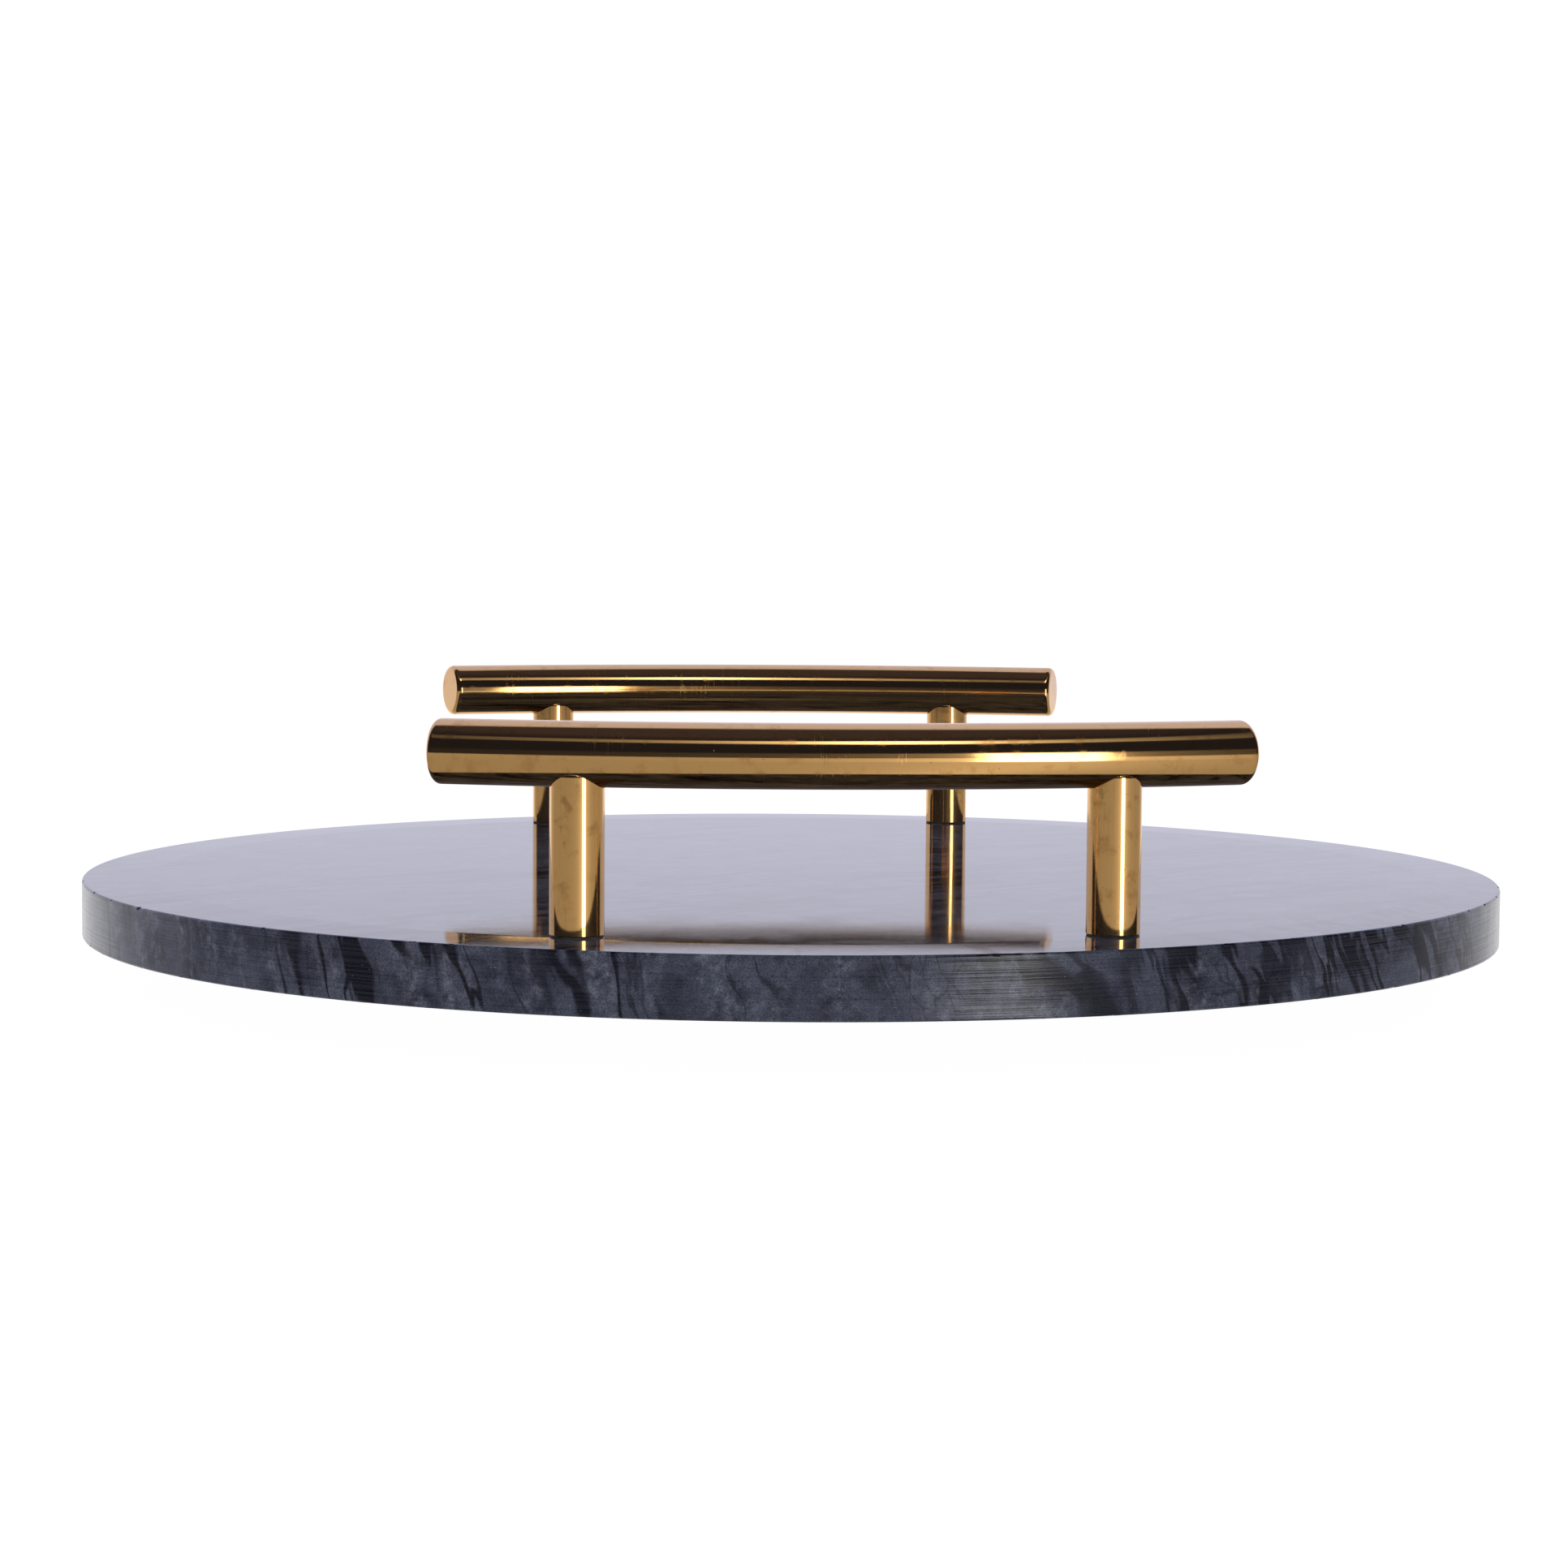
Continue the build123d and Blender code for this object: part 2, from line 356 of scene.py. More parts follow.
def cloudy_patches():
    """Soft patches, as of tarnish, dust or handling."""
    group, start, end = effect(
        "cloudy_patches",
        {
            "Vector": ("NodeSocketVector", None),
            "Scale": ("NodeSocketFloat", 0.1),
            "Low": ("NodeSocketFloat", 0.4),
            "High": ("NodeSocketFloat", 0.6),
        },
        {"Mask": "NodeSocketFloat"},
    )
    value = noise(group, start.outputs["Vector"], start.outputs["Scale"], 5.0, 0.6, 0.3)
    mask = soft_step(group, value, start.outputs["Low"], start.outputs["High"])
    feed(group, end.inputs["Mask"], mask)
    return group


def fine_specks():
    """Small round specks in some of the cells of a grid, as of pits or crystals."""
    group, start, end = effect(
        "fine_specks",
        {
            "Vector": ("NodeSocketVector", None),
            "Scale": ("NodeSocketFloat", 1.0),
            "Size": ("NodeSocketFloat", 0.2),
            "Share": ("NodeSocketFloat", 0.1),
        },
        {"Mask": "NodeSocketFloat"},
    )
    cells = put(
        group,
        "ShaderNodeTexVoronoi",
        Vector=start.outputs["Vector"],
        Scale=start.outputs["Scale"],
    )
    near = calc(group, "LESS_THAN", cells.outputs["Distance"], start.outputs["Size"])
    pick = put(group, "ShaderNodeSeparateColor", Color=cells.outputs["Color"])
    some = calc(group, "LESS_THAN", pick.outputs["Red"], start.outputs["Share"])
    feed(group, end.inputs["Mask"], calc(group, "MULTIPLY", near, some))
    return group


# the scratches' length against their width, how wide they are in the noise, and their breaks
scratch_stretch = (1, 0.03, 0.03)
scratch_width = 0.012
scratch_break_scale = 0.12
scratch_fade = 0.08


def hair_scratches():
    """Thin broken scratches that run across the vector's first axis."""
    group, start, end = effect(
        "hair_scratches",
        {
            "Vector": ("NodeSocketVector", None),
            "Scale": ("NodeSocketFloat", 1.0),
            "Share": ("NodeSocketFloat", 0.5),
        },
        {"Mask": "NodeSocketFloat"},
    )
    long_way = stretched(group, start.outputs["Vector"], scratch_stretch)
    value = noise(group, long_way, start.outputs["Scale"], 2.0)
    ridge = calc(group, "ABSOLUTE", calc(group, "SUBTRACT", value, 0.5))
    line = soft_step(group, ridge, 0.0, scratch_width, 1.0, 0.0)
    where = noise(group, start.outputs["Vector"], scratch_break_scale, 2.0)
    level = calc(group, "SUBTRACT", 1.0, start.outputs["Share"])
    broken = soft_step(group, where, level, calc(group, "ADD", level, scratch_fade))
    feed(group, end.inputs["Mask"], calc(group, "MULTIPLY", line, broken))
    return group


def turning_lines():
    """Fine parallel tool lines across the vector's third axis."""
    group, start, end = effect(
        "turning_lines",
        {
            "Vector": ("NodeSocketVector", None),
            "Along": ("NodeSocketFloat", 0.05),
            "Across": ("NodeSocketFloat", 3.0),
        },
        {"Height": "NodeSocketFloat"},
    )
    scale = put(
        group,
        "ShaderNodeCombineXYZ",
        X=start.outputs["Along"],
        Y=start.outputs["Along"],
        Z=start.outputs["Across"],
    ).outputs["Vector"]
    lined = vector_calc(group, "MULTIPLY", start.outputs["Vector"], scale)
    feed(group, end.inputs["Height"], noise(group, lined, 1.0, 3.0, 0.6))
    return group


patches = cloudy_patches()
specks = fine_specks()
scratches = hair_scratches()
tool_lines = turning_lines()


def new_material(name):
    """A material with one Principled shader, its tree, and the shader."""
    material = bpy.data.materials.new(name)
    material.use_nodes = True
    tree = material.node_tree
    tree.nodes.clear()
    shader = tree.nodes.new("ShaderNodeBsdfPrincipled")
    output = tree.nodes.new("ShaderNodeOutputMaterial")
    tree.links.new(shader.outputs["BSDF"], output.inputs["Surface"])
    return material, tree, shader


def raise_surface(tree, shader, height, depth):
    """Gives the surface a relief of this depth in metres."""
    bump = put(tree, "ShaderNodeBump", Height=height, Distance=depth, Strength=1.0)
    feed(tree, shader.inputs["Normal"], bump.outputs["Normal"])


# ---------------------------------------------------------------- stone

marble_dark = (0.017, 0.019, 0.033, 1)
marble_mid = (0.042, 0.047, 0.071, 1)
marble_light = (0.118, 0.126, 0.165, 1)
marble_vein = (0.003, 0.003, 0.008, 1)
marble_crystal = (0.34, 0.35, 0.40, 1)
marble_rust = (0.20, 0.055, 0.03, 1)
vein_normal = Vector((-0.51, 0.755, -0.23)).normalized()
second_vein_normal = Vector((-0.85, -0.20, -0.45)).normalized()
second_bed_way = (0.8, -0.6, 0)
second_bed_edge = (116, 132)

# Noise scales are per millimetre. A range is the noise over which a layer fades in, a share
# is how much of it is mixed in, and a set of veins fades in from start to end.
sway_scale, sway_reach = 0.045, 9.0
vein_squeeze, vein_stretch = 1.5, 0.3
swell_ratio, swell_range, swell_least = 2.3, (0.35, 0.7), 0.25
vein_core, region_ratio = 0.3, 0.4
wide_veins = {"scale": 0.06, "width": 0.085, "start": 0.46, "end": 0.56}
thin_veins = {"scale": 0.14, "width": 0.06, "start": 0.51, "end": 0.61}
crossing_veins = {"scale": 0.085, "width": 0.10, "start": 0.30, "end": 0.42}
cloud_scale, cloud_range = 0.12, (0.34, 0.60)
band_scale, band_range, band_least = 0.10, (0.42, 0.66), 0.15
mottle_scale, mottle_range = 0.42, (0.42, 0.72)
hairline_scale, hairline_width = 0.36, 0.06
grain_scale, grain_range, grain_levels = 4.0, (0.3, 0.7), (0.5, 1.5)
pale_share, thin_share, vein_share, hairline_share = 0.8, 0.6, 0.94, 0.6
crystal_share, rust_share = 0.4, 0.8

# the side's look fades in as the upward part of the surface's facing falls between these two
side_facing = (0.3, 0.8)
polish_range = (0.04, 0.062)
side_roughness = 0.12
marble_ior = 1.37

# the marble's relief: heights are counted in relief units
relief_unit = 0.0022 * MM
side_line_height = 90.0
skin_scale, skin_height = 3.4, 0.9
wave_scale, wave_height = 0.09, 1.2
pit_height = -9.0


def veined_place(tree, place, normal):
    """Coordinates that change fastest across the veins' planes, and wander a little."""
    sway = put(tree, "ShaderNodeTexNoise", Vector=place, Scale=sway_scale, Detail=3.0)
    sway = vector_calc(tree, "SUBTRACT", sway.outputs["Color"], (0.5, 0.5, 0.5))
    sway = vector_calc(tree, "SCALE", sway, scale=sway_reach)
    place = vector_calc(tree, "ADD", place, sway)
    across = vector_calc(tree, "DOT_PRODUCT", place, tuple(normal))
    across = calc(tree, "MULTIPLY", across, vein_squeeze)
    along = vector_calc(tree, "SCALE", place, scale=vein_stretch)
    ahead = vector_calc(tree, "SCALE", tuple(normal), scale=across)
    return vector_calc(tree, "ADD", along, ahead)


def second_bed(tree, place):
    """The front right of the slab, where a second set of veins runs."""
    depth = vector_calc(tree, "DOT_PRODUCT", place, second_bed_way)
    return soft_step(tree, depth, *second_bed_edge)


def veins(tree, place, scale, width, start, end):
    """Soft dark veins where a slow noise crosses its middle, only in some regions."""
    value = noise(tree, place, scale, 3.0)
    ridge = calc(tree, "ABSOLUTE", calc(tree, "SUBTRACT", value, 0.5))
    swell = noise(tree, place, scale * swell_ratio, 1.0)
    swell = soft_step(tree, swell, *swell_range, swell_least, 1.0)
    swell = calc(tree, "MULTIPLY", swell, width)
    core = calc(tree, "MULTIPLY", swell, vein_core)
    line = soft_step(tree, ridge, core, swell, 1.0, 0.0)
    where = soft_step(tree, noise(tree, place, scale * region_ratio, 1.0), start, end)
    return calc(tree, "MULTIPLY", line, where)


def clouds_and_mottle(tree, place, veined):
    """The stone's ground: blue-grey clouds, with a pale mottle in bands along the veins."""
    clouds = soft_step(tree, noise(tree, place, cloud_scale, 4.0, 0.6), *cloud_range)
    colour = tint(tree, clouds, marble_dark, marble_mid)
    bands = noise(tree, veined, band_scale, 3.0)
    bands = soft_step(tree, bands, *band_range, band_least, 1.0)
    mottle = soft_step(tree, noise(tree, place, mottle_scale, 5.0, 0.7), *mottle_range)
    pale = calc(tree, "MULTIPLY", calc(tree, "MULTIPLY", mottle, bands), pale_share)
    return tint(tree, pale, colour, marble_light)


def dark_veins(tree, place, veined):
    """All the black veins: wide, thin, and the second set that crosses at the front right."""
    wide = veins(tree, veined, **wide_veins)
    thin = veins(tree, veined, **thin_veins)
    dark = calc(tree, "MAXIMUM", wide, calc(tree, "MULTIPLY", thin, thin_share))
    crossing = veined_place(tree, place, second_vein_normal)
    crossing = veins(tree, crossing, **crossing_veins)
    crossing = calc(tree, "MULTIPLY", crossing, second_bed(tree, place))
    return calc(tree, "MAXIMUM", dark, crossing)


def hairlines(tree, place, veined):
    """Hair cracks along the edges of cells, only in some patches."""
    cells = put(
        tree,
        "ShaderNodeTexVoronoi",
        {"feature": "DISTANCE_TO_EDGE"},
        Vector=veined,
        Scale=hairline_scale,
    )
    hairline = soft_step(tree, cells.outputs["Distance"], 0.0, hairline_width, 1.0, 0.0)
    cracked = use(tree, patches, Vector=place, Scale=0.02, Low=0.55, High=0.62)["Mask"]
    return calc(tree, "MULTIPLY", hairline, cracked)


def marble_colour(tree, place, veined):
    """Clouds and mottle, black veins, hairlines, a fine grain, crystals and a little rust."""
    colour = clouds_and_mottle(tree, place, veined)
    dark = calc(tree, "MULTIPLY", dark_veins(tree, place, veined), vein_share)
    colour = tint(tree, dark, colour, marble_vein)
    hairline = calc(tree, "MULTIPLY", hairlines(tree, place, veined), hairline_share)
    colour = tint(tree, hairline, colour, marble_vein)

    grain = noise(tree, place, grain_scale, 3.0, 0.7)
    grain = soft_step(tree, grain, *grain_range, *grain_levels)
    colour = vector_calc(tree, "SCALE", colour, scale=grain)
    crystals = use(tree, specks, Vector=place, Scale=1.6, Size=0.13, Share=0.07)["Mask"]
    colour = tint(tree, calc(tree, "MULTIPLY", crystals, crystal_share), colour, marble_crystal)
    rust = use(tree, specks, Vector=place, Scale=0.1, Size=0.05, Share=0.05)["Mask"]
    return tint(tree, calc(tree, "MULTIPLY", rust, rust_share), colour, marble_rust)


def marble_relief(tree, place, on_side):
    """Tool lines on the side, and everywhere a fine skin, slow waves and pits."""
    lines = use(tree, tool_lines, Vector=place, Along=0.01, Across=1.4)["Height"]
    lines = calc(tree, "MULTIPLY", calc(tree, "MULTIPLY", lines, on_side), side_line_height)
    skin = calc(tree, "MULTIPLY", noise(tree, place, skin_scale, 2.0, 0.6), skin_height)
    waves = calc(tree, "MULTIPLY", noise(tree, place, wave_scale, 2.0), wave_height)
    pits = use(tree, specks, Vector=place, Scale=0.3, Size=0.09, Share=0.07)["Mask"]
    pits = calc(tree, "MULTIPLY", pits, pit_height)
    return calc(tree, "ADD", calc(tree, "ADD", lines, skin), calc(tree, "ADD", waves, pits))


def make_marble():
    """Polished charcoal marble, sawn and less polished on its side."""
    material, tree, shader = new_material("charcoal_marble")
    place = millimetres(tree)
    veined = veined_place(tree, place, vein_normal)
    feed(tree, shader.inputs["Base Color"], marble_colour(tree, place, veined))

    facing = tree.nodes.new("ShaderNodeNewGeometry").outputs["Normal"]
    flat = calc(tree, "ABSOLUTE", vector_calc(tree, "DOT_PRODUCT", facing, (0, 0, 1)))
    on_side = soft_step(tree, flat, *side_facing, 1.0, 0.0)
    handled = use(tree, patches, Vector=place, Scale=0.07, Low=0.38, High=0.68)["Mask"]
    rough = soft_step(tree, handled, 0.0, 1.0, *polish_range)
    rough = calc(tree, "ADD", rough, calc(tree, "MULTIPLY", on_side, side_roughness))
    feed(tree, shader.inputs["Roughness"], rough)

    raise_surface(tree, shader, marble_relief(tree, place, on_side), relief_unit)
    shader.inputs["IOR"].default_value = marble_ior
    return material


# ---------------------------------------------------------------- metal

brass_polished = (0.78, 0.455, 0.165, 1)
brass_tarnish = (0.56, 0.265, 0.08, 1)
brass_pit = (0.10, 0.05, 0.025, 1)
aluminium_clear = (0.78, 0.79, 0.81, 1)
aluminium_dull = (0.55, 0.56, 0.58, 1)
steel_bright = (0.62, 0.63, 0.64, 1)
steel_dull = (0.42, 0.42, 0.42, 1)
chrome_bright = (0.72, 0.72, 0.73, 1)
insert_bright = (0.75, 0.52, 0.22, 1)

# the brass's roughness goes over this range from clean to tarnished
brass_tarnish_share, brass_pit_share = 0.45, 0.8
brass_polish_range = (0.075, 0.16)
scratch_roughness = 0.2
# heights are counted against the polishing or turning lines, which are 1
brass_grain_scale, brass_grain_height = 3.5, 0.7
brass_scratch_height, brass_pit_height = -0.8, -3.0
metal_dull_share, metal_pit_share, metal_pit_height = 0.6, 0.4, -1.0


def make_brass(name, line_turn, line_depth):
    """Polished brass with fine polishing lines, faint tarnish, pits and hair scratches."""
    material, tree, shader = new_material(name)
    place = millimetres(tree)
    lined = stretched(tree, place, (1, 1, 1), line_turn)

    tarnish = use(tree, patches, Vector=place, Scale=0.3, Low=0.5, High=0.72)["Mask"]
    pits = use(tree, specks, Vector=place, Scale=0.8, Size=0.09, Share=0.05)["Mask"]
    marks = use(tree, scratches, Vector=place, Scale=1.2, Share=0.45)["Mask"]
    dull = calc(tree, "MULTIPLY", tarnish, brass_tarnish_share)
    colour = tint(tree, dull, brass_polished, brass_tarnish)
    colour = tint(tree, calc(tree, "MULTIPLY", pits, brass_pit_share), colour, brass_pit)
    feed(tree, shader.inputs["Base Color"], colour)

    rough = soft_step(tree, tarnish, 0.0, 1.0, *brass_polish_range)
    rough = calc(tree, "ADD", rough, calc(tree, "MULTIPLY", marks, scratch_roughness))
    feed(tree, shader.inputs["Roughness"], rough)

    lines = use(tree, tool_lines, Vector=lined, Along=0.6, Across=5.0)["Height"]
    grain = noise(tree, place, brass_grain_scale, 2.0, 0.6)
    lines = calc(tree, "ADD", lines, calc(tree, "MULTIPLY", grain, brass_grain_height))
    marks = calc(tree, "MULTIPLY", marks, brass_scratch_height)
    pits = calc(tree, "MULTIPLY", pits, brass_pit_height)
    height = calc(tree, "ADD", calc(tree, "ADD", lines, marks), pits)
    raise_surface(tree, shader, height, line_depth)
    shader.inputs["Metallic"].default_value = 1.0
    return material


def make_turned_metal(name, bright, dull, rough_range, depth):
    """Machined metal with fine turning lines and a few dull patches."""
    material, tree, shader = new_material(name)
    place = millimetres(tree)
    dullness = use(tree, patches, Vector=place, Scale=0.12, Low=0.4, High=0.7)["Mask"]
    pits = use(tree, specks, Vector=place, Scale=0.9, Size=0.1, Share=0.08)["Mask"]
    colour = tint(tree, calc(tree, "MULTIPLY", dullness, metal_dull_share), bright, dull)
    colour = tint(tree, calc(tree, "MULTIPLY", pits, metal_pit_share), colour, dull)
    feed(tree, shader.inputs["Base Color"], colour)
    feed(tree, shader.inputs["Roughness"], soft_step(tree, dullness, 0.0, 1.0, *rough_range))
    lines = use(tree, tool_lines, Vector=place, Along=0.1, Across=4.0)["Height"]
    height = calc(tree, "ADD", lines, calc(tree, "MULTIPLY", pits, metal_pit_height))
    raise_surface(tree, shader, height, depth)
    shader.inputs["Metallic"].default_value = 1.0
    return material


# ---------------------------------------------------------------- rubber and nylon

rubber_black = (0.018, 0.018, 0.019, 1)
rubber_worn = (0.055, 0.054, 0.052, 1)
nylon_white = (0.72, 0.71, 0.67, 1)
nylon_greased = (0.46, 0.43, 0.35, 1)
dust_share = 0.4
moulded_grain_scale = 6.0


def make_moulded(name, clean, worn, rough_range, depth):
    """Moulded rubber or nylon with a faint grain, worn or greasy in places."""
    material, tree, shader = new_material(name)
    place = millimetres(tree)
    wear = use(tree, patches, Vector=place, Scale=0.3, Low=0.42, High=0.7)["Mask"]
    dust = use(tree, specks, Vector=place, Scale=1.6, Size=0.12, Share=0.1)["Mask"]
    colour = tint(tree, wear, clean, worn)
    colour = tint(tree, calc(tree, "MULTIPLY", dust, dust_share), colour, worn)
    feed(tree, shader.inputs["Base Color"], colour)
    feed(tree, shader.inputs["Roughness"], soft_step(tree, wear, 0.0, 1.0, *rough_range))
    raise_surface(tree, shader, noise(tree, place, moulded_grain_scale, 2.0, 0.6), depth)
    return material


marble = make_marble()
bar_brass = make_brass("bar_brass", (0, pi / 2, 0), 0.0016 * MM)
post_brass = make_brass("post_brass", (0, 0, 0), 0.0018 * MM)
insert_brass = make_turned_metal(
    "insert_brass", insert_bright, brass_tarnish, (0.25, 0.4), 0.003 * MM
)
aluminium = make_turned_metal(
    "ring_aluminium", aluminium_clear, aluminium_dull, (0.28, 0.42), 0.004 * MM
)
zinc = make_turned_metal("zinc_steel", steel_bright, steel_dull, (0.25, 0.45), 0.004 * MM)
chrome = make_turned_metal("ball_steel", chrome_bright, steel_bright, (0.05, 0.12), 0.0004 * MM)
nylon = make_moulded("white_nylon", nylon_white, nylon_greased, (0.4, 0.55), 0.006 * MM)
rubber = make_moulded("black_rubber", rubber_black, rubber_worn, (0.55, 0.8), 0.012 * MM)
gasket_rubber = make_moulded("black_gasket", rubber_black, rubber_worn, (0.6, 0.75), 0.006 * MM)


# ---------------------------------------------------------------- slab

slab_sides = 320
wide_hole_sides = 64
roll_slack = 0.1 * MM
# chips: where each falls in its share of the rim, its size in millimetres, its lean in radians
chip_seed = 7
chip_counts = {"top": 60, "bottom": 44}
chip_spread = (0.2, 0.8)
chip_sizes = (0.16, 0.42)
chip_lean = (-0.4, 0.4)
# and its stretch inwards, along the rim and upwards
chip_depth, chip_lengths, chip_height = 1.5, (1.2, 3.2), 1.3


def edge_chips(height, count, dice):
    """Small blunt tools that knock chips out of the slab's rim at this height."""
    tools = []
    for step in range(count):
        angle = (step + dice.uniform(*chip_spread)) * 2 * pi / count
        size = dice.uniform(*chip_sizes) * MM
        let_go()
        bpy.ops.mesh.primitive_ico_sphere_add(
            subdivisions=2,
            radius=size,
            location=(slab_radius * cos(angle), slab_radius * sin(angle), height),
            rotation=(dice.uniform(*chip_lean), dice.uniform(*chip_lean), angle),
            scale=(chip_depth, dice.uniform(*chip_lengths), chip_height),
        )
        tool = added("chip")
        settle(tool)
        tools.append(tool)
    return tools


def on_top_beyond(vert, reach):
    """Whether a vert is in the slab's upper skin, further out than this."""
    return vert.co.z > slab_high.z - 2 * slab_edge_round and vert.co.xy.length > reach


def slab_blank():
    """The slab before any cutting: a round disc whose top falls a little at the rim."""
    bottom = Vector((0, 0, slab_low.z))
    slab = rod("slab", slab_radius, bottom, Vector((0, 0, slab_high.z)), slab_sides)
    open_mesh(slab, "EDGE")
    choose(slab, "edges", lambda edge: rim_at(slab_low.z)(edge) or rim_at(slab_high.z)(edge))
    bpy.ops.mesh.bevel(offset=slab_edge_round, segments=4, affect="EDGES")
    bpy.ops.mesh.select_mode(type="FACE")
    choose(slab, "faces", lambda face: len(face.verts) > 4)
    bpy.ops.mesh.inset(thickness=slab_roll_width)
    bpy.ops.mesh.inset(thickness=slab_roll_start)
    bpy.ops.mesh.select_mode(type="VERT")
    flat_reach = slab_radius - slab_edge_round - slab_roll_width
    for reach, drop in zip((flat_reach, slab_radius - slab_roll_width / 2), slab_roll_drops):
        choose(slab, "verts", lambda vert: on_top_beyond(vert, reach - roll_slack))
        bpy.ops.transform.translate(value=(0, 0, -drop))
    close_mesh()
    return slab


def fixing_holes():
    """Tools for the holes under the slab: four for the handles' screws, four for inserts."""
    tools = []
    for place in post_places.values():
        under = Vector((place.x, place.y, slab_low.z - MM))
        tools.append(rod("through", screw_hole_radius, under, under + UP * screw_hole_length))
        deep = under + UP * (counterbore_depth + MM)
        tools.append(rod("wide", counterbore_radius, under, deep, wide_hole_sides))
    for quarter in range(4):
        around = Matrix.Rotation(quarter * pi / 2, 3, "Z") @ Vector((ring_fixing_circle, 0, 0))
        under = around + UP * (slab_low.z - MM)
        deep = under + UP * (insert_hole_depth + MM)
        tools.append(rod("blind", insert_hole_radius, under, deep))
    return tools


def make_slab():
    """The round slab, with small chips in its rims and the fixing holes below."""
    slab = slab_blank()
    dice = random.Random(chip_seed)
    top_rim = slab_high.z - sum(slab_roll_drops)
    chips = edge_chips(top_rim, chip_counts["top"], dice)
    chips += edge_chips(slab_low.z, chip_counts["bottom"], dice)
    cut(slab, chips)
    for tool in fixing_holes():
        cut(slab, [tool])
    hand_over(slab, "turntable", marble, ["marble_slab"], 40)


# ---------------------------------------------------------------- handles

bar_steps = 60
bar_sides = 96
post_sides = 96
bore_sides = 32
saddle_rim_reach = 0.98
saddle_rim_angle = radians(25)


def make_bar(side, name):
    """A round bar, spun along its bend and rounded at both ends."""
    start = side * pi / 2 - bar_half_angle
    centre = Vector((0, -side * bend_centre, bar_axis))
    let_go()
    bpy.ops.mesh.primitive_circle_add(
        vertices=bar_sides,
        radius=bar_radius,
        location=centre + bar_bend_radius * Vector((cos(start), sin(start), 0)),
        rotation=(pi / 2, 0, start),
    )
    bar = added(name)
    settle(bar)
    open_mesh(bar, "VERT")
    bpy.ops.mesh.select_all(action="SELECT")
    bpy.ops.mesh.spin(
        steps=bar_steps,
        angle=-2 * bar_half_angle,
        center=centre,
        axis=(0, 0, 1),
    )
    bpy.ops.mesh.select_mode(type="EDGE")
    choose(bar, "edges", lambda edge: len(edge.link_faces) == 1)
    bpy.ops.mesh.fill_holes(sides=0)
    clean_up()
    choose(bar, "edges", lambda edge: any(len(face.verts) > 4 for face in edge.link_faces))
    bpy.ops.mesh.bevel(offset=bar_end_round, segments=7, affect="EDGES")
    bpy.ops.mesh.select_mode(type="FACE")
    choose(bar, "faces", lambda face: len(face.verts) > 4)
    bpy.ops.mesh.inset(thickness=bar_end_inset)
    close_mesh()
    return bar


def is_saddle_rim(edge, place):
    """Whether an edge lies where the saddle meets the post's round side."""
    if len(edge.link_faces) != 2 or middle(edge).z < bar_axis - 2 * bar_radius:
        return False
    reach = min((vert.co.xy - place.xy).length for vert in edge.verts)
    turn = edge.calc_face_angle(0)
    return reach > saddle_rim_reach * post_radius and turn > saddle_rim_angle


def make_post(corner, bar):
    """A round post, cut to sit under its bar, with a soft edge all round the saddle."""
    place = post_places[corner]
    foot = Vector((place.x, place.y, post_low.z))
    head = Vector((place.x, place.y, bar_axis - post_head_sink))
    post = rod(f"{corner}_handle_post", post_radius, foot, head, post_sides)
    open_mesh(post, "EDGE")
    choose(post, "edges", rim_at(post_low.z))
    bpy.ops.mesh.bevel(offset=post_foot_round, segments=3, affect="EDGES")
    choose(post, "edges", rim_at(head.z))
    bpy.ops.mesh.bevel(offset=post_head_round, segments=8, affect="EDGES")
    close_mesh()
    cut(post, [copy_of(bar, "saddle")])
    open_mesh(post, "EDGE")
    choose(post, "edges", lambda edge: is_saddle_rim(edge, place))
    bpy.ops.mesh.bevel(offset=saddle_round, segments=2, affect="EDGES")
    close_mesh()
    screw_end = Vector((place.x, place.y, screw_bore_top))
    cut(post, [rod("bore", screw_bore_radius, foot - UP * MM, screw_end, bore_sides)])
    stud_end = Vector((place.x, place.y, stud_bore_bottom))
    past_head = head + UP * bar_radius
    cut(post, [rod("bore", stud_bore_radius, stud_end, past_head, bore_sides)])
    hand_over(post, "turntable", post_brass, [f"{corner}_post"], 40)


def make_handle(side, side_name):
    """One handle: a bar on two posts."""
    bar = make_bar(side, f"{side_name}_bar")
    for across_name in ("left", "right"):
        corner = f"{side_name}_{across_name}"
        make_post(corner, bar)
    for across_name in ("left", "right"):
        place = post_places[f"{side_name}_{across_name}"]
        start = Vector((place.x, place.y, stud_bore_start))
        end = Vector((place.x, place.y, stud_bore_top))
        cut(bar, [rod("bore", stud_bore_radius, start, end, bore_sides)])
    hand_over(bar, "turntable", bar_brass, [f"{side_name}_handle_bar"], 35)


make_slab()
make_handle(FRONT, "front")
make_handle(REAR, "rear")


# ---------------------------------------------------------------- CAD nodes that stay

kept_nodes = {
    "bar_studs": zinc,
    "post_gaskets": gasket_rubber,
    "handle_screws": zinc,
    "steel_washers": zinc,
    "rubber_washers": rubber,
    "turning_ring": aluminium,
    "ring_gasket": gasket_rubber,
    "ring_screws": zinc,
    "threaded_inserts": insert_brass,
    "bearing_balls": chrome,
    "ball_cage": nylon,
    "standing_ring": aluminium,
    "ball_filling_plug": zinc,
    "front_foot": rubber,
    "right_foot": rubber,
    "rear_foot": rubber,
    "left_foot": rubber,
}
for node_name, material in kept_nodes.items():
    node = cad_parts[node_name]
    node.data.materials.clear()
    node.data.materials.append(material)


# ---------------------------------------------------------------- studio

# lens and sensor in millimetres, clip in metres
camera_lens, camera_sensor = 82.7, 36.0
camera_clip = (0.01, 50.0)
camera_distance = 772.6 * MM
camera_height = 98.4 * MM
camera_azimuth = radians(-4.82)
camera_yaw = radians(0.12)
camera_pitch = radians(4.245)
camera_roll = radians(0.42)


